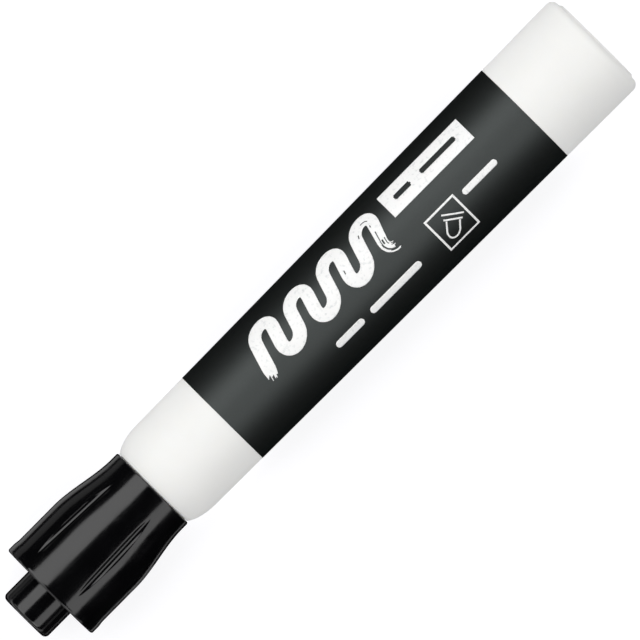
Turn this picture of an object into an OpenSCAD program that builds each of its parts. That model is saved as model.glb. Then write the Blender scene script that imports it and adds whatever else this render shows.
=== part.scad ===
// Whiteboard marker with a bullet nib, lying on its side.
// +X runs from the stud on the cap to the rear end, and the lowest line of the barrel lies on z = 0.
// Every round piece is drawn upright as [radius, station] outlines. A station is the distance from
// the tip of the cap's stud, and lay_down() turns the piece from upright to lying along X.

/* [Overall] */
// Length over all, from the stud on the cap to the rear end
total_len = 121; // [100:1:150]
// Outside diameter of the barrel at the front end of the label
barrel_d = 16.85; // [14:0.05:21]
// How much wider the barrel is at its rear end than at the label's front end
barrel_growth = 1.4; // [0:0.05:2]

/* [Barrel] */
// Wall of the barrel at the front end of the label
barrel_wall = 1.45; // [1.2:0.05:1.8]
// Bare white length between the cap's mouth and the label
front_band = 14.7; // [10:0.1:20]
// Bare white length between the label and the rear end
rear_band = 15.3; // [12:0.1:20]
// Length over which the shoulder swells from the neck to the full barrel
shoulder_len = 4.8; // [3.5:0.1:6]
// Depth of the neck below the barrel's surface
shoulder_drop = 1.82; // [1.5:0.01:2.2]
// Step from the neck up to the start of the shoulder, which stops the cap
stop_step = 0.45; // [0.3:0.05:0.6]
// Rounding of the rear edge
rear_edge_r = 1.2; // [0.8:0.1:1.5]
// Number of ribs that centre the ink reservoir
rib_count = 6; // [3:1:8]
// Height of those ribs
rib_height = 0.5; // [0.3:0.05:0.7]
// Width of those ribs
rib_width = 0.9; // [0.6:0.1:1.2]

/* [Neck and nose] */
// Length of the neck that the cap's mouth slides on
neck_len = 7.7; // [6:0.1:9]
// Wall of the neck
neck_wall = 1.3; // [1:0.05:1.6]
// Height of the snap bead round the neck
bead_height = 0.12; // [0.05:0.01:0.14]
// Length of the snap bead
bead_len = 1.6; // [1:0.1:2]
// Distance of the bead's middle from the front end of the neck
bead_place = 3.4; // [2.5:0.1:4]
// Step from the neck down to the nose
nose_step = 1.5; // [1.2:0.05:1.8]
// Length of the straight nose that the seal's lip grips
nose_len = 4.8; // [4:0.1:6]
// Length of the nose's cone
cone_len = 3; // [2:0.1:4]
// Wall of the nose at its tip
nose_tip_wall = 0.95; // [0.8:0.05:1.2]

/* [Nib and ink] */
// Diameter of the felt nib
nib_d = 5; // [4:0.1:5.6]
// Length of nib that stands out of the nose
nib_reach = 5; // [3.5:0.1:5.5]
// Length of the nib's rounded point
nib_point_len = 3; // [2:0.1:3.4]
// Length of nib that is pushed into the ink reservoir
nib_bite = 5; // [3:0.1:8]
// Number of air grooves along the nib's bore
vent_count = 4; // [3:1:6]
// Width of an air groove
vent_width = 0.8; // [0.5:0.1:1]
// Depth of an air groove
vent_depth = 0.45; // [0.3:0.05:0.5]
// Thickness of the plastic film wrapped round the reservoir
wrap_film = 0.15; // [0.1:0.01:0.2]

/* [Label] */
// Thickness of the printed label film
label_film = 0.12; // [0.08:0.01:0.2]
// Depth of the recess in the barrel that the label lies in
label_recess = 0.08; // [0.04:0.01:0.1]

/* [Cap] */
// Length of the cap's body, without the stud
cap_body_len = 21.8; // [18:0.1:26]
// Wall of the cap at its mouth
cap_lip_wall = 0.63; // [0.5:0.01:0.9]
// How far the grip stands out past the cap's mouth
cap_flare = 1.28; // [1:0.01:1.6]
// Height of the low rim round the far end of the cap
rim_height = 0.12; // [0:0.01:0.2]
// Length of that rim, with its run-out
rim_len = 2.6; // [2:0.1:3]
// Length of the cap's S-shaped taper towards the mouth
taper_len = 11; // [9:0.1:12]
// Straight length between the taper and the mouth
mouth_len = 1.2; // [0.8:0.1:2]
// Rounding of the cap's two outer edges
cap_edge_r = 0.35; // [0.2:0.05:0.5]
// Thickness of the cap's end wall, round the stud
cap_end_wall = 1.5; // [1.2:0.1:2]

/* [Flutes] */
// Number of grip flutes
flute_count = 6; // [5:1:8]
// Turn of the first flute from the top of the cap, towards +Y
flute_turn = -23; // [-60:1:60]
// Distance of the flutes from the cap's far end
flute_far_margin = 2.5; // [2:0.1:4]
// Distance of the flutes from the cap's mouth
flute_mouth_margin = 3.1; // [2.5:0.1:4]
// Radius of a flute's round bottom
flute_r = 0.75; // [0.6:0.05:0.9]

/* [Stud and rear socket] */
// Diameter of the stud on the cap
stud_d = 8.85; // [7.5:0.05:10]
// Length of the stud
stud_len = 5.4; // [4.5:0.1:6.5]
// Rounding of the stud's outer edge
stud_edge_r = 0.8; // [0.4:0.1:1]
// Wall of the hollow stud
stud_wall = 1.3; // [1:0.05:1.5]
// Spare depth behind the stud when it is pushed into a rear socket
socket_spare = 0.6; // [0.3:0.1:1]

/* [Seal] */
// Wall of the cap's seal
seal_wall = 0.9; // [0.7:0.05:1]
// Length of the seal's straight lip
lip_len = 1.8; // [1:0.1:2]
// Length of the lip's slopes
lip_slope_len = 1.2; // [0.8:0.1:1.5]

/* [End plug] */
// Step in the barrel's bore that the plug is pressed against
plug_step = 0.6; // [0.4:0.05:0.8]
// Length of the plug's skirt inside the barrel
plug_skirt_len = 2.2; // [1.5:0.1:4]
// Wall of the plug's skirt
plug_skirt_wall = 1.2; // [1:0.05:1.5]
// Thickness of the socket's floor
plug_floor = 1.3; // [1:0.1:2]
// How far the plug's face stands out of the barrel's rear edge
plug_proud = 0.3; // [0:0.05:0.4]
// Outside diameter of the tube that holds the reservoir forward
spacer_d = 8.4; // [7:0.1:9]
// Wall of that tube
spacer_wall = 1; // [0.8:0.1:1.2]
// Length of that tube
spacer_len = 6.3; // [4:0.1:8]

/* [Clearances] */
// Gap, on the radius, between the cap's bore and the neck
cap_gap = 0.15; // [0.1:0.01:0.2]
// Gap along the axis between the cap's mouth and the shoulder's stop
seat_gap = 0.1; // [0.05:0.01:0.2]
// Gap, on the radius, between the seal's lip and the nose
lip_gap = 0.05; // [0.03:0.01:0.1]
// Gap, on the radius, between the nib and its bore
nib_gap = 0.05; // [0.02:0.01:0.1]
// Gap, on the radius, between the wrapped reservoir and the ribs
wrap_gap = 0.1; // [0.05:0.01:0.2]
// Gap along the axis behind the reservoir
end_gap = 0.8; // [0.3:0.1:1.5]
// Gap, on the radius, between a stud and a rear socket
stud_gap = 0.04; // [0.01:0.01:0.05]

/* [Hidden] */

$fn = 96;
arc_steps = 8;
taper_steps = 22;

// Stations along the axis
cap_mouth = stud_len + cap_body_len;
neck_root = cap_mouth + seat_gap;
neck_front = neck_root - neck_len;
nose_front = neck_front - nose_len;
nose_tip = nose_front - cone_len;
nib_tip = nose_tip - nib_reach;
shoulder_end = neck_root + shoulder_len;
label_start = cap_mouth + front_band;
label_end = total_len - rear_band;
barrel_rear = total_len - plug_proud;
bore_front = shoulder_end + barrel_wall;
gallery_front = neck_front + neck_wall;
socket_floor = total_len - stud_len - socket_spare;
plug_seat = socket_floor - plug_floor - plug_skirt_len;
reservoir_front = bore_front + end_gap;
reservoir_rear = socket_floor - plug_floor - spacer_len - end_gap;

// Radii
barrel_r = barrel_d / 2;
neck_r = barrel_r - shoulder_drop;
nose_r = neck_r - nose_step;
nib_r = nib_d / 2;
nib_bore_r = nib_r + nib_gap;
bore_r = barrel_r - barrel_wall;
gallery_r = neck_r - neck_wall;
wrap_r = bore_r - rib_height - wrap_gap;
plug_r = bore_r + plug_step;
stud_r = stud_d / 2;
socket_r = stud_r + stud_gap;
cap_bore_r = neck_r + cap_gap;
mouth_r = cap_bore_r + cap_lip_wall;
axis_height = radius_at(barrel_rear);

// The shoulder is the last part of an ellipse, from this angle to 90 degrees
shoulder_lean = 30;
// Chamfers and cutting allowances
neck_chamfer = 0.4;
lead_in = 0.3;
mouth_lead = 0.15;
rib_sink = 0.3;
flute_overrun = 0.3;
cut_past = 1;

// Radius of the tapered barrel at a station
function radius_at(s) =
    barrel_r + barrel_growth / 2 * (s - label_start) / (total_len - label_start);

// A rise from 0 to 1 that starts and ends level
function ease(t) = let (u = min(max(t, 0), 1)) u * u * (3 - 2 * u);

// Radius of the cap's outside at a station
function cap_radius_at(s) =
    mouth_r
    + cap_flare * (1 - ease((s - cap_mouth + mouth_len + taper_len) / taper_len))
    + rim_height * (1 - ease((s - stud_len - rim_len / 2) / (rim_len / 2)));

// Quarter of a circle from angle a0 to a1, as outline points
function arc(centre_r, centre_s, r, a0, a1) =
    [for (i = [0:arc_steps]) let (a = a0 + (a1 - a0) * i / arc_steps)
        [centre_r + r * cos(a), centre_s + r * sin(a)]];

// Outline of the shoulder, from the cap's stop to the full barrel
function shoulder() =
    let (start_r = neck_r + stop_step,
         end_r = radius_at(shoulder_end),
         rise = (end_r - start_r) / (1 - sin(shoulder_lean)),
         run = shoulder_len / cos(shoulder_lean))
    [for (i = [0:arc_steps + 4])
        let (a = shoulder_lean + (90 - shoulder_lean) * i / (arc_steps + 4))
        [end_r - rise * (1 - sin(a)), shoulder_end - run * cos(a)]];

// Turns an upright piece so that its stations run along X
module lay_down() {
    translate([-total_len / 2, 0, axis_height]) rotate([0, 90, 0]) children();
}

module turned(outline) {
    rotate_extrude() polygon(outline);
}

// White moulding: body, shoulder, neck with its snap bead, and nose
module barrel() {
    bead = neck_front + bead_place;
    rear_r = radius_at(barrel_rear);
    color("whitesmoke") lay_down() {
        difference() {
            turned(concat(
                [[nib_bore_r, nose_tip], [nib_bore_r + nose_tip_wall, nose_tip],
                 [nose_r, nose_front], [nose_r, neck_front],
                 [neck_r - neck_chamfer, neck_front], [neck_r, neck_front + neck_chamfer],
                 [neck_r, bead - bead_len / 2], [neck_r + bead_height, bead - bead_len / 6],
                 [neck_r + bead_height, bead + bead_len / 6], [neck_r, bead + bead_len / 2],
                 [neck_r, neck_root]],
                shoulder(),
                [[radius_at(label_start), label_start],
                 [radius_at(label_start) - label_recess, label_start],
                 [radius_at(label_end) - label_recess, label_end],
                 [radius_at(label_end), label_end]],
                arc(rear_r - rear_edge_r, barrel_rear - rear_edge_r, rear_edge_r, 0, 90),
                [[plug_r, barrel_rear], [plug_r, plug_seat], [bore_r, plug_seat],
                 [bore_r, bore_front], [gallery_r, bore_front],
                 [gallery_r, gallery_front], [nib_bore_r, gallery_front]]));
            for (i = [0:vent_count - 1])
                rotate([0, 0, i * 360 / vent_count])
                    translate([0, -vent_width / 2, nose_tip - cut_past])
                        cube([nib_bore_r + vent_depth, vent_width,
                              gallery_front - nose_tip + 2 * cut_past]);
        }
        for (i = [0:rib_count - 1])
            rotate([0, 0, i * 360 / rib_count])
                translate([bore_r - rib_height, -rib_width / 2, bore_front])
                    cube([rib_height + rib_sink, rib_width, reservoir_rear - bore_front]);
    }
}

// White plug pressed into the rear of the barrel, with the socket for a cap's stud
module end_plug() {
    floor_in = socket_floor - plug_floor;
    spacer_r = spacer_d / 2;
    color("white") lay_down() turned([
        [socket_r, socket_floor], [socket_r, total_len - lead_in],
        [socket_r + lead_in, total_len], [plug_r - plug_proud, total_len],
        [plug_r, barrel_rear], [plug_r, plug_seat], [plug_r - plug_skirt_wall, plug_seat],
        [plug_r - plug_skirt_wall, floor_in], [spacer_r, floor_in],
        [spacer_r, floor_in - spacer_len], [spacer_r - spacer_wall, floor_in - spacer_len],
        [spacer_r - spacer_wall, floor_in], [0, floor_in], [0, socket_floor]]);
}

// Printed film wrapped round the barrel
module label_sleeve() {
    in_r = [radius_at(label_start) - label_recess, radius_at(label_end) - label_recess];
    color("#3c403f") lay_down() turned([
        [in_r[0], label_start], [in_r[0] + label_film, label_start],
        [in_r[1] + label_film, label_end], [in_r[1], label_end]]);
}

// Bundle of polyester fibre that holds the ink, with the pocket that the nib makes
module ink_reservoir() {
    core_r = wrap_r - wrap_film;
    color("#26282b") lay_down() turned([
        [nib_r, reservoir_front], [core_r, reservoir_front], [core_r, reservoir_rear],
        [0, reservoir_rear], [0, reservoir_front + nib_bite],
        [nib_r, reservoir_front + nib_bite]]);
}

// Clear film round the fibre bundle
module reservoir_wrap() {
    color("gainsboro") lay_down() turned([
        [wrap_r - wrap_film, reservoir_front], [wrap_r, reservoir_front],
        [wrap_r, reservoir_rear], [wrap_r - wrap_film, reservoir_rear]]);
}

// Felt rod with a bullet point, from the writing end into the reservoir
module nib() {
    color("#202226") lay_down() turned(concat(
        [for (i = [0:arc_steps + 4]) let (a = 90 * i / (arc_steps + 4))
            [nib_r * sin(a), nib_tip + nib_point_len * (1 - cos(a))]],
        [[nib_r, reservoir_front + nib_bite], [0, reservoir_front + nib_bite]]));
}

// One flute's cutter: a straight rod whose lowest line runs from one end of the flute to the other.
// The cap swells above that line, so the flute is deepest in its middle and fades out at both ends.
module flute_cutter() {
    start = [cap_radius_at(stud_len + flute_far_margin), stud_len + flute_far_margin];
    end = [cap_radius_at(cap_mouth - flute_mouth_margin), cap_mouth - flute_mouth_margin];
    run = end - start;
    translate([start[0], 0, start[1]])
        rotate([0, atan2(run[0], run[1]), 0])
            translate([flute_r, 0, -flute_overrun])
                cylinder(r = flute_r, h = norm(run) + 2 * flute_overrun);
}

// Black fluted moulding with the stud on its end
module cap_shell() {
    cap_floor = stud_len + cap_end_wall;
    taper_start = cap_mouth - mouth_len - taper_len;
    far_r = cap_radius_at(stud_len);
    hollow_r = stud_r - stud_wall;
    color("#141414") lay_down() difference() {
        turned(concat(
            [[0, 0]],
            arc(stud_r - stud_edge_r, stud_edge_r, stud_edge_r, -90, 0),
            [[stud_r, stud_len]],
            arc(far_r - cap_edge_r, stud_len + cap_edge_r, cap_edge_r, -90, 0),
            [for (i = [0:4]) let (s = stud_len + rim_len * (0.5 + 0.5 * i / 4))
                [cap_radius_at(s), s]],
            [for (i = [0:taper_steps]) let (s = taper_start + taper_len * i / taper_steps)
                [cap_radius_at(s), s]],
            arc(mouth_r - cap_edge_r, cap_mouth - cap_edge_r, cap_edge_r, 0, 90),
            [[cap_bore_r + mouth_lead, cap_mouth],
             [cap_bore_r, cap_mouth - 2 * mouth_lead], [cap_bore_r, cap_floor],
             [hollow_r, cap_floor], [hollow_r, stud_wall], [0, stud_wall]]));
        for (i = [0:flute_count - 1])
            rotate([0, 0, 180 - flute_turn - i * 360 / flute_count]) flute_cutter();
    }
}

// Soft liner in the cap, whose lip closes on the nose and keeps the ink from drying
module cap_seal() {
    cap_floor = stud_len + cap_end_wall;
    in_r = cap_bore_r - seal_wall;
    lip_r = nose_r + lip_gap;
    lip_front = nose_front + lip_slope_len / 2;
    seal_end = lip_front + lip_len + lip_slope_len / 2;
    color("#dcdcd8") lay_down() turned([
        [cap_bore_r, cap_floor], [cap_bore_r, seal_end],
        [lip_r + lip_slope_len / 2, seal_end], [lip_r, lip_front + lip_len],
        [lip_r, lip_front], [in_r, lip_front - lip_slope_len],
        [in_r, cap_floor + seal_wall], [stud_r - stud_wall, cap_floor + seal_wall],
        [stud_r - stud_wall, cap_floor]]);
}

barrel();
end_plug();
label_sleeve();
ink_reservoir();
reservoir_wrap();
nib();
cap_shell();
cap_seal();
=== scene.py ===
# %% [markdown]
# # A whiteboard marker, finished for the camera
#
# The engineering model of the marker already exists: eight solids, two bodies and one joint, in metres,
# with +X from the cap's stud to the rear end and the barrel lying on z = 0. This notebook gives it its
# looks. Nothing that fits or moves is decided here. Visible mouldings are drawn again as smooth skins
# with rounded edges, the film gets its lap seam and its print, and every surface gets a material that
# starts from what the real one is made of.
#
# The first cell loads the fixed model and can give the box of any of its nodes.

# %% Load the fixed model
import math
import random

import bmesh
import bpy
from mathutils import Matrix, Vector


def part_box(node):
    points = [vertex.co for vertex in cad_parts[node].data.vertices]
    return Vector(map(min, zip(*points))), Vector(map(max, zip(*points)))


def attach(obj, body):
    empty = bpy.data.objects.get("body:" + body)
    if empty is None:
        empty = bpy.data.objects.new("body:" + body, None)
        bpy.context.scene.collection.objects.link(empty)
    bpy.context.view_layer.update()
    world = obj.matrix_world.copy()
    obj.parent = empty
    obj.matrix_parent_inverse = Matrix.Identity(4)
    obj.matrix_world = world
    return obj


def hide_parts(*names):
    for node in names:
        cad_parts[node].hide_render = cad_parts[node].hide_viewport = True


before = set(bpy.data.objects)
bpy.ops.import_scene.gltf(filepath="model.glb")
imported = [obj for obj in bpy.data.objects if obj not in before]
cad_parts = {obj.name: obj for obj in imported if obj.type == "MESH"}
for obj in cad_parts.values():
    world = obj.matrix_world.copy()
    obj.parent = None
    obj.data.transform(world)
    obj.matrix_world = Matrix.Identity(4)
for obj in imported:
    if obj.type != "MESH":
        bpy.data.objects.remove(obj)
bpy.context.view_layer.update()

# %% [markdown]
# ## Places along the marker
#
# A turned object is easiest to think about as a row of places along its axis and a radius at each. Each
# place here comes from the box of a fixed node, plus or minus a length that the moulding has. The script
# thinks in millimetres, as the toolmaker does, and turns them into Blender's metres only where a vertex
# is made.

# %% Millimetres, the axis, and where each piece starts and ends
MM = 0.001


def span(node):
    """Where a fixed node starts and ends along X, in mm."""
    low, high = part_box(node)
    return low.x / MM, high.x / MM


stud_tip, cap_mouth = span("cap_shell")
nose_tip, barrel_rear = span("barrel")
label_start, label_end = span("label_sleeve")
nib_tip, nib_end = span("nib")
plug_front, plug_rear = span("end_plug")
barrel_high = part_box("barrel")[1].z / MM
axis_z = barrel_high / 2
print(f"length {plug_rear - stud_tip:.1f} mm, rear end {barrel_high:.2f} mm across")

# %% [markdown]
# ## Camera
#
# The marker is seen straight from above, lying corner to corner in a square frame. A very long lens, far
# away, keeps the edges of the label straight. An orthographic camera would do that too, but the lens also
# works when the camera is moved round the object to look at its sides.

# %% A very long lens, straight down and turned a little over 45 degrees
# Millimetres and degrees, and metres for where the view stops.
LENS = 1500
SENSOR = 36
FRAME_WIDTH = 95.17
LOOK_AT = (1.94, -0.06)
ROLL = 45.25
CLIP_END = 20

camera_data = bpy.data.cameras.new("camera")
camera_data.lens = LENS
camera_data.sensor_width = SENSOR
camera = bpy.data.objects.new("camera", camera_data)
distance = FRAME_WIDTH * LENS / SENSOR
camera.location = (LOOK_AT[0] * MM, LOOK_AT[1] * MM, (axis_z + distance) * MM)
camera.rotation_euler = (0, 0, -math.radians(ROLL))
camera_data.clip_end = CLIP_END
bpy.context.scene.collection.objects.link(camera)
bpy.context.scene.camera = camera
bpy.context.scene.view_settings.view_transform = "Standard"
print(f"camera {distance:.0f} mm above the marker's axis")

# %% [markdown]
# ## Colours and nodes
#
# A colour on a screen is coded in sRGB, and a shader wants linear light, so one function turns a hex code
# into the four numbers of a colour socket. Another adds any node: it takes what to put on the node's
# inputs, either a plain value or another node's output, and the node's own settings.

# %% One function for colours and one for nodes
def linear(code):
    """The linear colour of an sRGB hex code such as "F2F2EF"."""
    shares = [int(code[i:i + 2], 16) / 255 for i in (0, 2, 4)]
    return [c / 12.92 if c <= 0.04045 else ((c + 0.055) / 1.055) ** 2.4 for c in shares] + [1]


def add(tree, kind, inputs=None, **settings):
    """Add a node. Inputs hold values, or nodes and outputs to link; a node gives its first output."""
    node = tree.nodes.new(kind)
    for name, value in settings.items():
        setattr(node, name, value)
    for name, value in (inputs or {}).items():
        if isinstance(value, bpy.types.Node):
            value = value.outputs[0]
        if isinstance(value, bpy.types.NodeSocket):
            tree.links.new(value, node.inputs[name])
        else:
            node.inputs[name].default_value = value
    return node


def start_material(name, **plain):
    """A material with one Principled shader, and plain values on its sockets. Gives tree and shader too."""
    material = bpy.data.materials.new(name)
    material.use_nodes = True
    shader = material.node_tree.nodes["Principled BSDF"]
    for socket, value in plain.items():
        shader.inputs[socket.replace("_", " ")].default_value = value
    return material, material.node_tree, shader


def per(size):
    """The Scale of a noise or a Voronoi texture whose spots are this many mm wide."""
    return 1 / (size * MM)


# The Mix node keeps one set of sockets for each kind of value. These are its colour ones.
MIX_A, MIX_B, MIX_RESULT = 6, 7, 2
print("white is", [round(c, 3) for c in linear("F2F2EF")])

# %% [markdown]
# ## Light table and room
#
# Small glossy products are often shown on a light table: a sheet of white acrylic that glows from below,
# so that hardly a shadow is left. A wide plane with an Emission strength is the simplest such table. The
# room is the world's background: white to the camera, so that the ground is white to its edges, and
# dimmer to every other ray, so that the softboxes can shape the marker. Both are kept out of mirror
# rays, as black cards round a real set would do, so the cap stays black between its highlights.

# %% The table
TABLE_SIDE = 6
TABLE_GLOW = 0.8

table_mesh = bpy.data.meshes.new("light_table")
half = TABLE_SIDE / 2
table_mesh.from_pydata([(-half, -half, 0), (half, -half, 0), (half, half, 0), (-half, half, 0)], [],
                       [(0, 1, 2, 3)])
light_table = bpy.data.objects.new("light_table", table_mesh)
bpy.context.scene.collection.objects.link(light_table)
acrylic = start_material("opal_acrylic", Base_Color=linear("94949A"), Roughness=0.6, Specular_IOR_Level=0.2,
                         Emission_Color=linear("FFFFFF"), Emission_Strength=TABLE_GLOW)[0]
table_mesh.materials.append(acrylic)
light_table.visible_glossy = False
print("light table", TABLE_SIDE, "m wide")

# %% The room: pale for the camera and for matt surfaces, dark in mirror rays
ROOM_GLOW = 0.3
CAMERA_GLOW = 1.0

world = bpy.data.worlds.new("room")
world.use_nodes = True
bpy.context.scene.world = world
tree = world.node_tree
rays = add(tree, "ShaderNodeLightPath")
glow = add(tree, "ShaderNodeMix", {0: rays.outputs["Is Camera Ray"], 2: ROOM_GLOW, 3: CAMERA_GLOW})
tree.links.new(glow.outputs[0], tree.nodes["Background"].inputs["Strength"])
tree.nodes["Background"].inputs["Color"].default_value = linear("FFFFFF")
world.cycles_visibility.glossy = False
print("room light", ROOM_GLOW)

# %% [markdown]
# ## Softboxes
#
# Long softboxes hang parallel to the marker. A turned glossy surface shows each as one stripe, and the
# stripe's place says where the box hangs: a surface that leans 15 degrees mirrors what is 30 degrees from
# the zenith. Matt, satin and polished surfaces need different light here, so each kind has a pair of its
# own: two shades that only light matt colour, two stripes for the polished cap, and two sheens for the
# satin pieces. One more box past each end gives the cap a highlight when it is seen end on. Black paper
# between the lamps would keep them apart in a studio. In Blender light linking does it: a light with a
# receiver collection only lights the pieces in it.

# %% Two lists of pieces for the lights to choose from
polished_pieces = bpy.data.collections.new("polished_pieces")
satin_pieces = bpy.data.collections.new("satin_pieces")
print("two lists of pieces, filled as they are made")

# %% A panel, and a softbox given by the two angles from the zenith that it fills
BOX_DISTANCE = 500
SHADE_GAP = 20
BOX_LENGTH = 1300


def panel(name, width, watts, receivers):
    """A long rectangular light that the camera does not see. It shines down until it is turned."""
    data = bpy.data.lights.new(name, "AREA")
    data.shape = "RECTANGLE"
    data.size = BOX_LENGTH * MM
    data.size_y = width * MM
    data.energy = watts
    light = bpy.data.objects.new(name, data)
    light.visible_camera = False
    light.light_linking.receiver_collection = receivers
    bpy.context.scene.collection.objects.link(light)
    print(f"{name}: {width:.0f} mm wide, {watts} W")
    return light


def softbox(name, first_angle, last_angle, watts, mirrored, receivers=None, turned=0):
    """A panel that hangs between two angles from the zenith, positive towards +Y, and is then turned about
    the zenith. It is either only mirrored or only lights matt surfaces, so that stripes and shades can be
    set one by one, as polarising sheets allow in a studio. A shade hangs a little farther out, because two
    lights in one place would dim each other."""
    middle = math.radians(first_angle + last_angle) / 2
    spread = math.radians(abs(last_angle - first_angle))
    distance = BOX_DISTANCE if mirrored else BOX_DISTANCE + SHADE_GAP
    light = panel(name, 2 * distance * math.tan(spread / 2), watts, receivers)
    turn_angle, reach = math.radians(turned), distance * math.sin(middle)
    light.location = Vector((-reach * math.sin(turn_angle), reach * math.cos(turn_angle),
                             axis_z + distance * math.cos(middle))) * MM
    light.rotation_euler = (-middle, 0, turn_angle)
    light.visible_diffuse = not mirrored
    light.visible_glossy = mirrored


# %% The eight boxes
softbox("far_shade", 9, 51, 2.7, mirrored=False)
softbox("near_shade", -6, -42, 1.4, mirrored=False)
softbox("far_stripe", 12, 51, 3.7, mirrored=True, receivers=polished_pieces)
softbox("near_stripe", -38, -71, 2.4, mirrored=True, receivers=polished_pieces)
softbox("far_sheen", 9, 51, 2.9, mirrored=True, receivers=satin_pieces)
softbox("near_sheen", -6, -42, 1.8, mirrored=True, receivers=satin_pieces)
softbox("stud_end_box", 50, 78, 1.2, mirrored=True, receivers=polished_pieces, turned=90)
softbox("rear_end_box", 50, 78, 1.2, mirrored=True, receivers=polished_pieces, turned=-90)

# %% [markdown]
# ## Cards on the table
#
# Three narrow strips of pale card lie on the table beside the marker. The cap's steep sides mirror them as
# hairlines along its outline, which is how a black thing is kept apart from its ground. A wide card past
# each end does the same for the cap's flat end faces. A white plane would be the plain way to make a card.
# These are weak panels that face up instead, because a light can be linked to the cap alone.

# %% Three strips and two end cards
CARD_RISE = 0.3


def card(name, first, last, watts, receivers, turned=0):
    """A card that lies on the table between two distances from the middle, towards +Y and then turned."""
    light = panel(name, last - first, watts, receivers)
    middle, turn_angle = (first + last) / 2, math.radians(turned)
    light.location = Vector((-middle * math.sin(turn_angle), middle * math.cos(turn_angle), CARD_RISE)) * MM
    light.rotation_euler = (math.pi, 0, turn_angle)
    light.visible_diffuse = False


card("far_strip", 26, 62, 0.04, polished_pieces)
card("close_strip", 12.8, 19.3, 0.012, polished_pieces)
card("near_strip", 14.7, 16, 0.004, polished_pieces, turned=180)
card("stud_end_card", 80, 380, 1.2, polished_pieces, turned=90)
card("rear_end_card", 80, 380, 1.2, polished_pieces, turned=-90)

# %% [markdown]
# ## White polypropylene, moulded
#
# The barrel and its plug are injection-moulded polypropylene (PP), coloured white right through. It gives
# the eye a clean, slightly warm white with a low satin gloss: the steel of the mould was blasted finely,
# and the plastic copied it. PP lets a little light in, which softens the edge of a shadow. The grain is
# about 0.05 mm in the steel, which is too fine to show here, so it is drawn at 0.25 mm. A faint cloudiness
# a few millimetres wide, where the melt flowed, keeps the white from looking like paint.

# %% White polypropylene
def white_polypropylene():
    material, tree, shader = start_material(
        "white_polypropylene", IOR=1.49, Specular_IOR_Level=0.35, Subsurface_Weight=0.12,
        Subsurface_Scale=0.6 * MM, Subsurface_Radius=(1.0, 0.9, 0.75))
    where = add(tree, "ShaderNodeTexCoord").outputs["Object"]
    flow = add(tree, "ShaderNodeTexNoise", {"Vector": where, "Scale": per(7), "Detail": 2})
    colour = add(tree, "ShaderNodeMix", {0: flow, MIX_A: linear("EFEFEC"), MIX_B: linear("F4F4F2")},
                 data_type="RGBA")
    tree.links.new(colour.outputs[MIX_RESULT], shader.inputs["Base Color"])
    handling = add(tree, "ShaderNodeTexNoise", {"Vector": where, "Scale": per(3), "Detail": 4})
    gloss = add(tree, "ShaderNodeMapRange", {"Value": handling, "To Min": 0.48, "To Max": 0.6})
    tree.links.new(gloss.outputs[0], shader.inputs["Roughness"])
    grain = add(tree, "ShaderNodeTexNoise", {"Vector": where, "Scale": per(0.25), "Detail": 3})
    relief = add(tree, "ShaderNodeBump", {"Height": grain, "Strength": 0.35, "Distance": 0.012 * MM})
    tree.links.new(relief.outputs[0], shader.inputs["Normal"])
    return material


white_plastic = white_polypropylene()
print(white_plastic.name, len(white_plastic.node_tree.nodes), "nodes")

# %% [markdown]
# ## Black polypropylene, moulded glossy
#
# The cap is the same plastic with carbon black in it, from a polished mould. It mirrors the lights as clean
# stripes and goes to a deep black between them. What tells it from glass is how the stripes waver: a moulded
# wall sinks a few micrometres as it cools, which is the long, low wave here. Caps rub on tables and on
# one another, so there are also hairlines along the axis, which show only inside a highlight.

# %% Black polypropylene
def black_polypropylene():
    material, tree, shader = start_material("black_polypropylene", IOR=1.49)
    where = add(tree, "ShaderNodeTexCoord").outputs["Object"]
    smudge = add(tree, "ShaderNodeTexNoise", {"Vector": where, "Scale": per(4), "Detail": 4})
    colour = add(tree, "ShaderNodeMix", {0: smudge, MIX_A: linear("040405"), MIX_B: linear("08080A")},
                 data_type="RGBA")
    tree.links.new(colour.outputs[MIX_RESULT], shader.inputs["Base Color"])
    lengthwise = add(tree, "ShaderNodeMapping", {"Vector": where, "Scale": (0.04, 1, 1)})
    hairlines = add(tree, "ShaderNodeTexNoise", {"Vector": lengthwise, "Scale": per(0.18), "Detail": 2})
    rubbed = add(tree, "ShaderNodeMath", {0: smudge, 1: hairlines}, operation="MULTIPLY")
    gloss = add(tree, "ShaderNodeMapRange", {"Value": rubbed, "From Min": 0.15, "From Max": 0.4,
                                             "To Min": 0.12, "To Max": 0.2})
    tree.links.new(gloss.outputs[0], shader.inputs["Roughness"])
    sink = add(tree, "ShaderNodeTexNoise", {"Vector": where, "Scale": per(3.5), "Detail": 1})
    waves = add(tree, "ShaderNodeBump", {"Height": sink, "Strength": 0.5, "Distance": 0.02 * MM})
    fine = add(tree, "ShaderNodeBump", {"Height": hairlines, "Strength": 0.15, "Distance": 0.004 * MM,
                                        "Normal": waves})
    tree.links.new(fine.outputs[0], shader.inputs["Normal"])
    return material


black_plastic = black_polypropylene()
print(black_plastic.name, len(black_plastic.node_tree.nodes), "nodes")

# %% [markdown]
# ## Printed film
#
# The label is a matt polyester (PET) film with its dark ground printed on the back, wrapped round the
# barrel and glued to itself. It gives the eye one broad sheen down the middle that falls to near black at
# both sides, because nearly all that it returns is gloss and hardly any is colour, and its fine matting
# blurs the two softboxes into one. PET bends light more than PP does, so its sheen is stronger. The
# matting is about 0.05 mm across; it is drawn at 0.3 mm so that it shows when the camera comes close.

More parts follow.
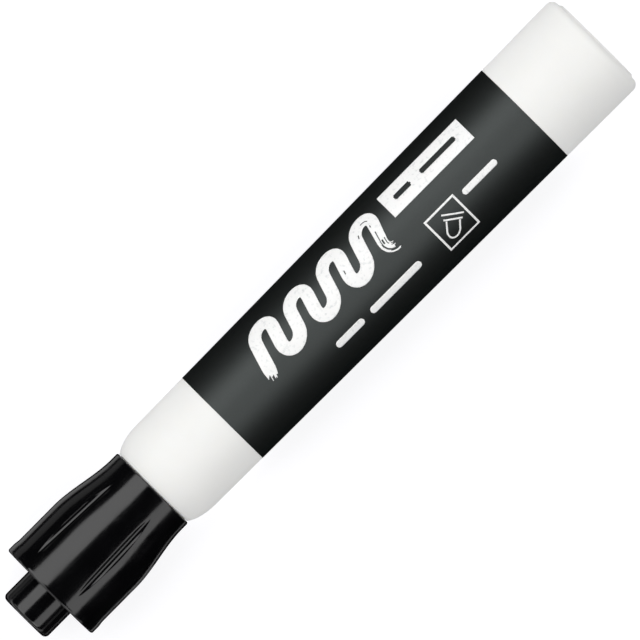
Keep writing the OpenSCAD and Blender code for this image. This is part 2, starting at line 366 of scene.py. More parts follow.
# %% Printed film, and the white ink on it
def printed_film():
    material, tree, shader = start_material("printed_polyester_film", IOR=1.6, Specular_IOR_Level=0.75,
                                            Specular_Tint=linear("F6FFFD"))
    where = add(tree, "ShaderNodeTexCoord").outputs["Object"]
    ground = add(tree, "ShaderNodeTexNoise", {"Vector": where, "Scale": per(9), "Detail": 3})
    colour = add(tree, "ShaderNodeMix", {0: ground, MIX_A: linear("050808"), MIX_B: linear("080C0C")},
                 data_type="RGBA")
    tree.links.new(colour.outputs[MIX_RESULT], shader.inputs["Base Color"])
    cells = add(tree, "ShaderNodeTexVoronoi", {"Vector": where, "Scale": per(0.3)})
    gloss = add(tree, "ShaderNodeMapRange", {"Value": cells, "To Min": 0.5, "To Max": 0.56})
    tree.links.new(gloss.outputs[0], shader.inputs["Roughness"])
    slack = add(tree, "ShaderNodeTexNoise", {"Vector": where, "Scale": per(6), "Detail": 1})
    ripple = add(tree, "ShaderNodeBump", {"Height": slack, "Strength": 0.4, "Distance": 0.03 * MM})
    dots = add(tree, "ShaderNodeBump", {"Height": cells, "Strength": 0.2, "Distance": 0.006 * MM,
                                        "Normal": ripple})
    tree.links.new(dots.outputs[0], shader.inputs["Normal"])
    return material


def white_ink():
    material, tree, shader = start_material("white_ink", IOR=1.5)
    where = add(tree, "ShaderNodeTexCoord").outputs["Object"]
    cover = add(tree, "ShaderNodeTexNoise", {"Vector": where, "Scale": per(0.5), "Detail": 4})
    thin = add(tree, "ShaderNodeMapRange", {"Value": cover, "From Min": 0.25, "From Max": 0.45})
    colour = add(tree, "ShaderNodeMix", {0: thin, MIX_A: linear("DEE0E0"), MIX_B: linear("F7F7F6")},
                 data_type="RGBA")
    tree.links.new(colour.outputs[MIX_RESULT], shader.inputs["Base Color"])
    gloss = add(tree, "ShaderNodeMapRange", {"Value": cover, "To Min": 0.38, "To Max": 0.52})
    tree.links.new(gloss.outputs[0], shader.inputs["Roughness"])
    return material


label_film = printed_film()
label_ink = white_ink()
print(label_film.name, label_ink.name)

# %% [markdown]
# ## Felt and fibre, soaked with ink
#
# The nib is polyester felt, pressed into a rod and ground to a bullet point. The reservoir is a bundle of
# loose polyester fibres. Both are black with ink. The fibres show because the gaps between them are
# painted darker, as painted shade, and their tops lighter. Real fibres are about 0.02 mm thick; they are
# drawn at 0.09 mm in the nib and 0.2 mm in the bundle, and stretched along the axis, because that is how they
# run.

# %% One recipe for both, with its own fibre width and colours
def fibre(name, width, gap_shade, top_colour, fuzz):
    material, tree, shader = start_material(name, IOR=1.45, Roughness=0.85, Sheen_Weight=fuzz,
                                            Sheen_Roughness=0.5)
    where = add(tree, "ShaderNodeTexCoord").outputs["Object"]
    along = add(tree, "ShaderNodeMapping", {"Vector": where, "Scale": (0.08, 1, 1)})
    strands = add(tree, "ShaderNodeTexNoise", {"Vector": along, "Scale": per(width), "Detail": 4})
    # The colour follows the relief: the gaps between the fibres get the darker colour as painted shade, and
    # their tops the lighter one.
    tops = add(tree, "ShaderNodeMapRange", {"Value": strands, "From Min": 0.4, "From Max": 0.7})
    colour = add(tree, "ShaderNodeMix", {0: tops, MIX_A: linear(gap_shade), MIX_B: linear(top_colour)},
                 data_type="RGBA")
    tree.links.new(colour.outputs[MIX_RESULT], shader.inputs["Base Color"])
    relief = add(tree, "ShaderNodeBump", {"Height": strands, "Strength": 0.8,
                                          "Distance": width / 2 * MM})
    tree.links.new(relief.outputs[0], shader.inputs["Normal"])
    return material


nib_felt = fibre("pressed_polyester_felt", 0.09, "0D0D10", "34363B", 0.3)
ink_fibre = fibre("polyester_fibre_bundle", 0.2, "08080A", "2A2B31", 0.2)
print(nib_felt.name, ink_fibre.name)

# %% [markdown]
# ## Soft polyethylene and thin film
#
# The cap's liner is natural low-density polyethylene (LDPE): milky, waxy and a little see-through, so
# light goes into it further than into the barrel. The film round the reservoir is clear polypropylene,
# creased where it was wrapped. It is the only see-through piece, and its plain alpha says how much.

# %% Natural polyethylene and clear film
def natural_polyethylene():
    material, tree, shader = start_material(
        "natural_polyethylene", IOR=1.51, Subsurface_Weight=0.35, Subsurface_Scale=1 * MM,
        Subsurface_Radius=(1.0, 0.95, 0.85))
    where = add(tree, "ShaderNodeTexCoord").outputs["Object"]
    wax = add(tree, "ShaderNodeTexNoise", {"Vector": where, "Scale": per(2.5), "Detail": 3})
    colour = add(tree, "ShaderNodeMix", {0: wax, MIX_A: linear("D9D9D2"), MIX_B: linear("E6E6E1")},
                 data_type="RGBA")
    tree.links.new(colour.outputs[MIX_RESULT], shader.inputs["Base Color"])
    gloss = add(tree, "ShaderNodeMapRange", {"Value": wax, "To Min": 0.4, "To Max": 0.55})
    tree.links.new(gloss.outputs[0], shader.inputs["Roughness"])
    return material


def clear_film():
    material, tree, shader = start_material("clear_polypropylene_film", IOR=1.49, Alpha=0.6)
    where = add(tree, "ShaderNodeTexCoord").outputs["Object"]
    creases = add(tree, "ShaderNodeTexNoise", {"Vector": where, "Scale": per(5), "Detail": 5})
    colour = add(tree, "ShaderNodeMix", {0: creases, MIX_A: linear("C6C9CC"), MIX_B: linear("E2E4E6")},
                 data_type="RGBA")
    tree.links.new(colour.outputs[MIX_RESULT], shader.inputs["Base Color"])
    gloss = add(tree, "ShaderNodeMapRange", {"Value": creases, "To Min": 0.12, "To Max": 0.3})
    tree.links.new(gloss.outputs[0], shader.inputs["Roughness"])
    return material


seal_plastic = natural_polyethylene()
wrap_film = clear_film()
print(seal_plastic.name, wrap_film.name)

# %% [markdown]
# ## Turning
#
# Barrel, plug, nib and liner are turned shapes. Blender's Screw modifier would turn them, but a ring of
# vertices for each point of the outline is just as short in bmesh, and it leaves a grid in which every
# vertex's place is known, so slots and flutes can be cut by moving vertices. An outline is written as
# corners, (x, radius) or (x, radius, rounding), because no moulded edge is sharp: the small round on it
# is what catches the light.

# %% Outlines with rounded corners
ROUND_STEPS = 6


def rounded(corners, steps=ROUND_STEPS):
    """The points of an outline of (x, radius) or (x, radius, rounding) corners, with each round as an arc."""
    points = []
    for i, (x, radius, *rounding) in enumerate(corners):
        here = Vector((x, radius))
        if not rounding:
            points.append((x, radius))
            continue
        back = (Vector(corners[i - 1][:2]) - here).normalized()
        ahead = (Vector(corners[(i + 1) % len(corners)][:2]) - here).normalized()
        half = back.angle(ahead) / 2
        centre = here + (back + ahead).normalized() * rounding[0] / math.sin(half)
        reach = rounding[0] / math.tan(half)
        first = (here + back * reach - centre).normalized()
        last = (here + ahead * reach - centre).normalized()
        points += [tuple(centre + first.slerp(last, k / steps) * rounding[0]) for k in range(steps + 1)]
    return points


print("a rounded corner has", len(rounded([(0, 0), (1, 0, 0.2), (1, 1)])) - 2, "points")

# %% A point of a turned shape, and a finished skin
CREASE = 32


def at(x, radius, angle):
    """The point at a place along the axis, a radius and an angle from the top, towards +Y, in metres."""
    return Vector((x, radius * math.sin(angle), axis_z + radius * math.cos(angle))) * MM


def skin(name, mesh_in_work, material):
    """Turn a finished bmesh into a smooth-shaded object with one material."""
    mesh = bpy.data.meshes.new(name)
    bmesh.ops.recalc_face_normals(mesh_in_work, faces=mesh_in_work.faces)
    mesh_in_work.to_mesh(mesh)
    mesh_in_work.free()
    mesh.shade_smooth()
    mesh.set_sharp_from_angle(angle=math.radians(CREASE))
    mesh.materials.append(material)
    piece = bpy.data.objects.new(name, mesh)
    bpy.context.scene.collection.objects.link(piece)
    return piece


print("highest point, in metres:", tuple(round(side, 4) for side in at(barrel_rear, axis_z, 0)))

# %% Rings of vertices, joined into a closed skin of quads
TURN_STEPS = 192


def join_rings(work, rings):
    """Quads between each ring and the next, and from the last to the first. A ring of one is a pole."""
    for near, far in zip(rings, rings[1:] + rings[:1]):
        count = max(len(near), len(far))
        if count == 1:
            continue
        for k in range(count):
            corners = [near[k % len(near)], near[(k + 1) % len(near)],
                       far[(k + 1) % len(far)], far[k % len(far)]]
            work.faces.new(dict.fromkeys(corners))


def turn(name, outline, material, steps=TURN_STEPS, shift=None):
    """Turn an outline of (x, radius) points. shift(x, radius, angle) may give a point another radius."""
    work = bmesh.new()
    rings = []
    for x, radius in outline:
        count = steps if radius > 0 else 1
        angles = [2 * math.pi * k / count for k in range(count)]
        rings.append([work.verts.new(at(x, shift(x, radius, a) if shift else radius, a))
                      for a in angles])
    join_rings(work, rings)
    return skin(name, work, material)


print(TURN_STEPS, "columns of vertices round each turned piece")

# %% [markdown]
# ## Onto its body
#
# The marker has two bodies, and every piece rides on one of them, so that it stays in place when the cap is
# pulled off. Parenting each piece to an empty for its body does that in Blender. One function does it, hides
# the fixed node that the piece stands for, and puts the piece on the list that decides which lights it gets.

# %% Ride, lights and the node it stands for
def fit(piece, body, slot, *nodes):
    """Put a piece on its body, list it for the lights of its finish, and hide the fixed nodes that it
    stands for."""
    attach(piece, body)
    receivers = polished_pieces if slot == "black_plastic" else satin_pieces
    receivers.objects.link(piece)
    if nodes:
        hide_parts(*nodes)
    size = [round(side / MM, 2) for side in piece.dimensions]
    print(f"{piece.name}: {len(piece.data.polygons)} faces, {size} mm")
    return piece


# %% [markdown]
# ## Barrel
#
# One white moulding: a body that widens by 1.4 mm towards its rear, a shallow bed for the label, a rounded
# shoulder, and, hidden while the cap is on, the neck with its snap bead and the nose that holds the nib.
# It is one closed outline, outside and bore together. Four air grooves run along the nib's bore, and six
# ribs along the main bore keep the ink reservoir centred. They are not separate pieces on the real one
# either, so they are made by moving the vertices of the skin where they run.

# %% Sizes of the barrel
FRONT_R, BARREL_WALL = 8.425, 1.45
CONE, NOSE, NECK, SHOULDER = 3, 4.8, 7.7, 4.8
NECK_R, NECK_WALL, NECK_CHAMFER = 6.605, 1.3, 0.4
NOSE_R, NOSE_TIP_R = 5.105, 3.5
NIB_BORE_R, PLUG_R = 2.55, 7.575
GALLERY_R, BORE_R = NECK_R - NECK_WALL, FRONT_R - BARREL_WALL
BEAD, BEAD_LEN, BEAD_PLACE = 0.12, 1.6, 3.4
STOP_STEP, STOP_BREAK, SHOULDER_LEAN = 0.45, 0.06, 30
LABEL_BED = 0.08
REAR_EDGE, PLUG_LEAD, PLUG_LEAD_LEN = 1.2, 0.1, 0.15
RIB_RUN_OUT = 0.05
SOCKET_DEPTH, PLUG_FLOOR, PLUG_SKIRT = 6, 1.3, 2.2

nose_front = nose_tip + CONE
neck_front = nose_front + NOSE
neck_root = neck_front + NECK
shoulder_end = neck_root + SHOULDER
bore_front = shoulder_end + BARREL_WALL
gallery_front = neck_front + NECK_WALL
floor_front = plug_rear - SOCKET_DEPTH - PLUG_FLOOR
plug_seat = floor_front - PLUG_SKIRT
rib_rear = span("ink_reservoir")[1]


def barrel_radius(x):
    """Outside radius of the tapered body."""
    return FRONT_R + (axis_z - FRONT_R) * (x - label_start) / (barrel_rear - label_start)


print(f"neck {neck_front:.1f} to {neck_root:.1f}, shoulder to {shoulder_end:.1f}")

# %% The barrel's outline, from the nose's tip round the outside and back through the bore
def shoulder_arc(steps=24):
    """The shoulder is the last part of an ellipse that ends level with the body."""
    low, high = NECK_R + STOP_STEP, barrel_radius(shoulder_end)
    lean = math.radians(SHOULDER_LEAN)
    rise, run = (high - low) / (1 - math.sin(lean)), SHOULDER / math.cos(lean)
    angles = [lean + (math.pi / 2 - lean) * k / steps for k in range(steps + 1)]
    return [(shoulder_end - run * math.cos(a), high - rise * (1 - math.sin(a))) for a in angles]


bead = neck_front + BEAD_PLACE
front, rear = barrel_radius(label_start), barrel_radius(label_end)
barrel_outline = rounded([
    (nose_tip, NIB_BORE_R, 0.1), (nose_tip, NOSE_TIP_R, 0.25), (nose_front, NOSE_R, 0.5),
    (neck_front, NOSE_R, 0.15), (neck_front, NECK_R - NECK_CHAMFER, 0.1),
    (neck_front + NECK_CHAMFER, NECK_R, 0.2),
    (bead - BEAD_LEN / 2, NECK_R, 0.3), (bead - BEAD_LEN / 6, NECK_R + BEAD, 0.4),
    (bead + BEAD_LEN / 6, NECK_R + BEAD, 0.4), (bead + BEAD_LEN / 2, NECK_R, 0.3),
    (neck_root, NECK_R, 0.08), (neck_root, NECK_R + STOP_STEP - STOP_BREAK), *shoulder_arc(),
    (label_start, front, 0.02), (label_start, front - LABEL_BED), (label_end, rear - LABEL_BED),
    (label_end, rear, 0.02), (barrel_rear, axis_z, REAR_EDGE), (barrel_rear, PLUG_R + PLUG_LEAD, 0.08),
    (barrel_rear - PLUG_LEAD_LEN, PLUG_R), (plug_seat, PLUG_R), (plug_seat, BORE_R),
    (rib_rear + RIB_RUN_OUT, BORE_R), (rib_rear, BORE_R), (bore_front, BORE_R, 0.3),
    (bore_front, GALLERY_R, 0.2), (gallery_front, GALLERY_R, 0.3), (gallery_front, NIB_BORE_R, 0.1)])
print("barrel outline", len(barrel_outline), "points")

# %% Grooves and ribs by moving the skin, then the barrel itself
VENTS, VENT_WIDTH, VENT_DEPTH = 4, 0.8, 0.45
RIBS, RIB_WIDTH, RIB_HEIGHT = 6, 0.9, 0.5
MOUTH_BAND, SAME_SURFACE = 0.12, 0.01


def on_one_of(count, width, radius, angle):
    """True where an angle lies on one of `count` evenly spaced bands of this width in mm."""
    pitch = 2 * math.pi / count
    off = (angle + pitch / 2) % pitch - pitch / 2
    return abs(radius * math.sin(off)) <= width / 2


def grooves_and_ribs(x, radius, angle):
    """The bore's radius, deeper in an air groove and less on a rib. The nib's bore has its rounded mouths
    within the mouth band."""
    if radius < NIB_BORE_R + MOUTH_BAND:
        return radius + VENT_DEPTH * on_one_of(VENTS, VENT_WIDTH, radius, angle)
    if bore_front <= x <= rib_rear and abs(radius - BORE_R) < SAME_SURFACE:
        return radius - RIB_HEIGHT * on_one_of(RIBS, RIB_WIDTH, radius, angle)
    return radius


barrel = turn("barrel_moulding", barrel_outline, white_plastic, shift=grooves_and_ribs)
fit(barrel, "marker", "white_plastic", "barrel")

# %% [markdown]
# ## End plug
#
# A white plug pressed into the rear. Its socket takes the stud of a cap, and a short tube on its inner side
# keeps the reservoir forward. The mouth of the socket has a lead-in, and the gate where the plastic
# entered the mould was in the middle of the floor, so it leaves a small sunken dot there.

# %% End plug
SOCKET_R, LEAD_IN = 4.465, 0.3
PLUG_PROUD, SKIRT_WALL = 0.3, 1.2
SPACER_R, SPACER_WALL = 4.2, 1
GATE_R, GATE_DEPTH, GATE_SLOPE = 0.7, 0.15, 0.1

socket_floor = plug_rear - SOCKET_DEPTH
end_plug = turn("rear_plug_moulding", rounded([
    (socket_floor - GATE_DEPTH, 0), (socket_floor - GATE_DEPTH, GATE_R, 0.05),
    (socket_floor, GATE_R + GATE_SLOPE, 0.05), (socket_floor, SOCKET_R, 0.25),
    (plug_rear - LEAD_IN, SOCKET_R, 0.15), (plug_rear, SOCKET_R + LEAD_IN, 0.12),
    (plug_rear, PLUG_R - PLUG_PROUD, 0.12), (barrel_rear, PLUG_R, 0.1), (plug_seat, PLUG_R, 0.1),
    (plug_seat, PLUG_R - SKIRT_WALL, 0.1), (floor_front, PLUG_R - SKIRT_WALL, 0.3),
    (floor_front, SPACER_R, 0.3), (plug_front, SPACER_R, 0.15), (plug_front, SPACER_R - SPACER_WALL, 0.15),
    (floor_front, SPACER_R - SPACER_WALL, 0.2), (floor_front, 0)]), white_plastic)
fit(end_plug, "marker", "white_plastic", "end_plug")

# %% [markdown]
# ## Cap
#
# The black cap is a turned shape with six flutes for the fingers. Outside it keeps one diameter over the
# grip, with a slightly raised rim at its far end, then narrows in a soft S to its mouth. Each flute is
# the mark of a straight round rod laid from the grip to the mouth: the cap swells above it, so the flute
# is a long leaf, deepest where the S begins.

# %% Sizes of the cap
STUD_LEN, STUD_R, STUD_EDGE = 5.4, 4.425, 0.8
DIMPLE_R, DIMPLE_DEPTH, DIMPLE_SLOPE = 0.6, 0.12, 0.15
CAP_BORE_R, CAP_LIP, FLARE = 6.755, 0.63, 1.28
RIM, RIM_LEN, CAP_EDGE = 0.12, 2.6, 0.35
TAPER, MOUTH_LEN, MOUTH_LEAD = 11, 1.2, 0.15
END_WALL, STUD_WALL = 1.5, 1.3
FLUTES, FIRST_FLUTE, FLUTE_R = 6, -23, 0.75
FLUTE_FAR, FLUTE_NEAR = 2.5, 3.1

cap_back = stud_tip + STUD_LEN
mouth_r = CAP_BORE_R + CAP_LIP


def ease(t):
    """A rise from 0 to 1 that starts and ends level."""
    t = min(max(t, 0), 1)
    return t * t * (3 - 2 * t)


def cap_radius(x):
    """Outside radius of the cap between its flutes."""
    taper = ease((x - cap_mouth + MOUTH_LEN + TAPER) / TAPER)
    run_out = ease((x - cap_back - RIM_LEN / 2) / (RIM_LEN / 2))
    return mouth_r + FLARE * (1 - taper) + RIM * (1 - run_out)


print(f"cap {2 * cap_radius(cap_back):.2f} mm across its rim, {2 * mouth_r:.2f} mm at its mouth")

# %% [markdown]
# ## Flutes without a boolean
#
# A boolean would cut the flutes, but it leaves long thin triangles that shade badly on a glossy surface.
# Instead, the rings of the cap have their columns of vertices where the flutes need them: round the
# bottom, on both crests, and close beside them, so that each edge has a small round that catches light.
# Two formulas are enough: how deep the rod's round bottom lies at a place along the cap, and where that
# round comes out of the cap's own circle.

# %% How deep a flute is, and how wide, at a place along the cap
flute_start, flute_end = cap_back + FLUTE_FAR, cap_mouth - FLUTE_NEAR
start_r, end_r = cap_radius(flute_start), cap_radius(flute_end)


def flute_floor(x):
    """Radius of the bottom of a flute, which runs straight from one end to the other."""
    along = (x - flute_start) / (flute_end - flute_start)
    return min(start_r + (end_r - start_r) * along, cap_radius(x))


def flute_half(x):
    """Half the width of a flute, where its round bottom comes out of the cap's surface."""
    radius, centre = cap_radius(x), flute_floor(x) + FLUTE_R
    height = (radius ** 2 - FLUTE_R ** 2 + centre ** 2) / (2 * centre)
    return math.sqrt(max(radius ** 2 - height ** 2, 0))


places = range(math.ceil(flute_start), math.floor(flute_end))
deepest = max((cap_radius(x) - flute_floor(x), flute_half(x)) for x in places)
print(f"flute {flute_end - flute_start:.1f} mm long, {deepest[0]:.2f} deep, {2 * deepest[1]:.2f} wide")

# %% Columns gathered at a flute
FLOOR_COLUMNS = (0, 0.14, 0.28, 0.42, 0.56, 0.7, 0.82, 0.9, 0.95, 1)
LAND_COLUMNS = (0.01, 0.02, 0.04, 0.08, 0.2, 0.4, 0.7, 1)
NARROWEST = 0.12
CREST_ROUND, CREST_REACH = 0.02, 0.14


def half_sector(x, radius, fluted):
    """(radius, angle) of the columns from the bottom of a flute to the middle of the land beside it."""
    cut = fluted and flute_half(x) > NARROWEST
    half = flute_half(x) if cut else NARROWEST
    crest = math.asin(half / radius)
    steepest = math.asin(half / FLUTE_R)
    columns = []
    for share in FLOOR_COLUMNS:
        across, height = FLUTE_R * math.sin(steepest * share), flute_floor(x)
        height += FLUTE_R * (1 - math.cos(steepest * share))
        columns.append((math.hypot(height, across), math.atan2(across, height)) if cut
                       else (radius, crest * share))
    columns += [(radius, crest + (math.pi / FLUTES - crest) * share) for share in LAND_COLUMNS]
    if not cut:
        return columns
    worn = CREST_ROUND * min(1, half / (4 * CREST_REACH))
    return [(r - worn * max(0, 1 - abs(a - crest) * radius / CREST_REACH) ** 2, a) for r, a in columns]


print(len(FLOOR_COLUMNS + LAND_COLUMNS), "columns from the bottom of a flute to the middle of a land")

# %% A ring of the cap
def cap_ring(work, x, radius, fluted=False):
    """One ring of vertices round the cap."""
    if radius == 0:
        return [work.verts.new(at(x, 0, 0))]
    half = half_sector(x, radius, fluted)
    sector = [(r, -a) for r, a in reversed(half[1:-1])] + half
    ring = []
    for k in range(FLUTES):
        turned = math.radians(FIRST_FLUTE + k * 360 / FLUTES)
        ring += [work.verts.new(at(x, r, turned + a)) for r, a in sector]
    return ring


print(2 * FLUTES * (len(FLOOR_COLUMNS + LAND_COLUMNS) - 1), "vertices in each ring")

# %% The cap's outline
GRIP_STEPS = 84

cap_floor = cap_back + END_WALL
grip_len = cap_mouth - 2 * CAP_EDGE - cap_back
grip = [cap_back + CAP_EDGE + grip_len * k / GRIP_STEPS for k in range(GRIP_STEPS + 1)]
# The last point before the grip and the first one after it only aim a round, and are dropped.
before = rounded([
    (stud_tip + DIMPLE_DEPTH, 0), (stud_tip + DIMPLE_DEPTH, DIMPLE_R, 0.05),
    (stud_tip, DIMPLE_R + DIMPLE_SLOPE, 0.05), (stud_tip, STUD_R, STUD_EDGE), (cap_back, STUD_R, 0.12),
    (cap_back, cap_radius(cap_back), CAP_EDGE), (cap_back + 1, cap_radius(cap_back))])[:-1]
after = rounded([
    (cap_mouth - 1, mouth_r), (cap_mouth, mouth_r, 0.3), (cap_mouth, CAP_BORE_R + MOUTH_LEAD, 0.1),
    (cap_mouth - 2 * MOUTH_LEAD, CAP_BORE_R), (cap_floor, CAP_BORE_R, 0.3),
    (cap_floor, STUD_R - STUD_WALL, 0.2), (stud_tip + STUD_WALL, STUD_R - STUD_WALL, 0.3),
    (stud_tip + STUD_WALL, 0)])[1:]
print("cap outline", len(before + grip + after), "points")

# %% The cap
work = bmesh.new()
rings = [cap_ring(work, x, r) for x, r in before]
rings += [cap_ring(work, x, cap_radius(x), flute_start < x < flute_end) for x in grip]
rings += [cap_ring(work, x, r) for x, r in after]
join_rings(work, rings)
cap = skin("cap_moulding", work, black_plastic)
fit(cap, "cap", "black_plastic", "cap_shell")

# %% [markdown]
# ## Cap liner
#
# A soft cup inside the cap. Its lip closes on the nose just behind the nib, so that the ink cannot dry.
# With the cap on it cannot be seen; with the cap off it is the pale ring inside the mouth.

# %% Cap liner
SEAL_WALL, LIP_LEN, LIP_SLOPE, LIP_GAP = 0.9, 1.8, 1.2, 0.05

lip_r = NOSE_R + LIP_GAP
lip_front = nose_front + LIP_SLOPE / 2
liner_end = lip_front + LIP_LEN + LIP_SLOPE / 2
liner = turn("cap_liner", rounded([
    (cap_floor, CAP_BORE_R, 0.2), (liner_end, CAP_BORE_R, 0.1), (liner_end, lip_r + LIP_SLOPE / 2, 0.1),
    (lip_front + LIP_LEN, lip_r, 0.2), (lip_front, lip_r, 0.2),
    (lip_front - LIP_SLOPE, CAP_BORE_R - SEAL_WALL, 0.3),
    (cap_floor + SEAL_WALL, CAP_BORE_R - SEAL_WALL, 0.4),
    (cap_floor + SEAL_WALL, STUD_R - STUD_WALL, 0.1), (cap_floor, STUD_R - STUD_WALL, 0.1)]),
    seal_plastic)
fit(liner, "cap", "seal_plastic", "cap_seal")

# %% [markdown]
# ## Nib
#
# A felt rod, ground to a bullet point. Felt is never quite smooth, so the outline is turned with many
# rings and each vertex is then moved in by up to a few hundredths of a millimetre, in long streaks that
# follow the fibres. Only the part outside the barrel is roughened: the rest has to slide in its bore.

# %% Nib
NIB_R, POINT_LEN = 2.5, 3
POINT_STEPS, SHAFT_STEPS = 30, 60
ROUGHNESS = 0.045
STREAKS = 72
PATCH_WAVE, PATCH_SCATTER = 1.7, 11

random.seed(5)
point = [(nib_tip + POINT_LEN * (1 - math.cos(a)), NIB_R * math.sin(a))
         for a in [math.pi / 2 * k / POINT_STEPS for k in range(POINT_STEPS + 1)]]
shaft = [(nib_tip + POINT_LEN + (nib_end - nib_tip - POINT_LEN) * k / SHAFT_STEPS, NIB_R)
         for k in range(1, SHAFT_STEPS + 1)]
streak_depth = [random.random() for _ in range(STREAKS)]


def felt(x, radius, angle):
    """The radius with a shallow streak taken off it, outside the barrel only."""
    streak = streak_depth[round(angle / (2 * math.pi) * STREAKS) % STREAKS]
    patch = 0.5 + 0.5 * math.sin(PATCH_WAVE * x + PATCH_SCATTER * streak)
    return radius - ROUGHNESS * streak * patch * (x < nose_tip) * min(radius, 1)


nib = turn("felt_nib", point + shaft + [(nib_end, 0)], nib_felt, steps=2 * STREAKS, shift=felt)
fit(nib, "marker", "nib_felt", "nib")

# %% [markdown]
# ## Reservoir and its film
#
# The ink reservoir and the film round it are plain cylinders inside the barrel, and the fixed model already
# has them right, so they stay as they are and only get their materials. A fixed node takes a material in
# its object's material slot.

# %% Dress the two hidden nodes
for node, material in {"ink_reservoir": ink_fibre, "reservoir_wrap": wrap_film}.items():
    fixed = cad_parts[node]
    fixed.data.materials.clear()
    fixed.data.materials.append(material)
    print(node, "is", material.name)

# %% [markdown]
# ## Label film
#
# The label starts as a flat strip that is wrapped round the barrel until its end overlaps its start, where
# it is sealed. Seen from the print side it is a plain sleeve, and on the back the seam shows as a fine
# step along the barrel. A sheet with a Solidify modifier is the natural way to make film: one surface
# carries the shape, and the modifier gives the thickness. The sheet climbs over its own start just before
# the lap.

# %% Label film with its lap seam
FILM = 0.12
SHEET = 0.75 * FILM
SEAM_ANGLE, LAP, CLIMB = 128, 2.6, 1.2
HEM = 0.1
FILM_STEPS = 224

mean_r = (front + rear) / 2
lap_angle, climb_angle = LAP / mean_r, CLIMB / mean_r
full_turn = 2 * math.pi + lap_angle


def film_lift(turned):
    """How far the sheet has climbed over its own start, at an angle from where it starts."""
    return SHEET * ease((turned - 2 * math.pi + climb_angle) / climb_angle)


work = bmesh.new()
columns = []
for k in range(FILM_STEPS + 1):
    turned = full_turn * k / FILM_STEPS
    angle = math.radians(SEAM_ANGLE) + turned
    columns.append([work.verts.new(at(x, barrel_radius(x) - LABEL_BED + film_lift(turned) + FILM / 2, angle))
                    for x in (label_start, label_start + HEM, label_end - HEM, label_end)])
for near, far in zip(columns, columns[1:]):
    for k in range(len(near) - 1):
        work.faces.new([near[k], near[k + 1], far[k + 1], far[k]])
label = skin("label_film", work, label_film)
thickness = label.modifiers.new("film", "SOLIDIFY")
thickness.thickness = SHEET * MM
thickness.offset = 0
fit(label, "marker", "label_film", "label_sleeve")

# %% [markdown]
# ## Print
#
# White ink on the film: a hand-drawn scribble that shows what the marker does, a white panel, a small
# drawing of the bullet tip in a square, and short bars in place of words. Ink could be painted on by a
# mask in the film's material, but an edge made of geometry stays crisp at any distance. Each mark is a
# band: a path on the flat label, with a width, laid on the round film as a fine grid of quads. Cells can be
# left out of the grid, which gives the dry streaks of a brush and the openings in the panel.

# %% From the flat label to the round film
INK = 0.02
CELL = 0.16


def on_label(x, around, lift=0.0):
    """The point of the flat label at x and this many mm round from the top line, towards +Y."""
    radius = barrel_radius(x) - LABEL_BED + FILM + lift
    return at(x, radius, around / radius)


def even(path, step=CELL):
    """Points at even steps along a path of flat (x, around) points, with their distance along it."""
    points = [Vector(p) for p in path]
    lengths = [(b - a).length for a, b in zip(points, points[1:])]
    total = sum(lengths)
    count = max(2, round(total / step))
    result, piece, passed = [], 0, 0.0
    for k in range(count + 1):
        goal = total * k / count
        while piece < len(lengths) - 1 and passed + lengths[piece] < goal:
            passed += lengths[piece]
            piece += 1
        share = (goal - passed) / lengths[piece]
        result.append((points[piece].lerp(points[piece + 1], share), goal))
    return result, total


print("a path of 1 mm gets", len(even([(0, 0), (1, 0)])[0]), "points")

# %% A band of quads along a path
def band(work, path, width, gap=None):
    """Lay a band along a path. width is in mm, or gives mm for (distance, total). gap(distance, offset,
    total) is true for a cell that has no ink."""
    line, total = even(path)
    widest = width(total / 2, total) if callable(width) else width
    across = max(3, round(widest / CELL))
    rows = []
    for k, (here, distance) in enumerate(line):
        ahead = line[min(k + 1, len(line) - 1)][0] - line[max(k - 1, 0)][0]
        side = Vector((-ahead.y, ahead.x)).normalized()
        wide = width(distance, total) if callable(width) else width
        spots = [here + side * wide * (j / across - 0.5) for j in range(across + 1)]
        rows.append([work.verts.new(on_label(*spot, lift=INK / 2)) for spot in spots])
    for k in range(len(rows) - 1):
        distance = (line[k][1] + line[k + 1][1]) / 2
        for j in range(across):
            if gap and gap(distance, (j + 0.5) / across - 0.5, total):
                continue
            work.faces.new([rows[k][j], rows[k + 1][j], rows[k + 1][j + 1], rows[k][j + 1]])
    bmesh.ops.delete(work, geom=[v for v in work.verts if not v.link_faces], context="VERTS")


trial = bmesh.new()
band(trial, [(0, 0), (1, 0)], 1)
print("1 mm2 of ink has", len(trial.faces), "quads")
trial.free()

# %% Round ends, and the layer of ink
THINNEST = 0.02


def round_ends(wide):
    """A width that closes in a half circle at both ends of the band."""
    def width(distance, total):
        from_end = min(distance, total - distance)
        if from_end >= wide / 2:
            return wide
        return max(THINNEST, 2 * math.sqrt(wide * from_end - from_end ** 2))
    return width


def printed(name, work):
    """Finish a mark: give it the thickness of an ink layer and put it on the marker."""
    mark = skin(name, work, label_ink)
    layer = mark.modifiers.new("ink", "SOLIDIFY")
    layer.thickness = INK * MM
    layer.offset = 0
    return fit(mark, "marker", "print_ink")


print("ink", INK, "mm thick, narrowest", THINNEST, "mm")

# %% [markdown]
# ## The scribble
#
# The largest mark says what the marker is for: one stroke of a loaded brush that swings up and down. It
# spells nothing. Its path is a row of half circles joined by straight runs, slanted like handwriting, and
# no two turns reach equally far, which is what makes it look drawn by hand.

# %% The path of the scribble
SCRIBBLE_START, SCRIBBLE_PITCH, STROKES = -8.8, 3.55, 8
SCRIBBLE_LOW, SCRIBBLE_HIGH, SLANT = -0.7, 6.6, 0.3
WANDER, FIRST_DIP = 0.9, 0.9
ARC_STEPS, LAST_STEPS = 9, 5

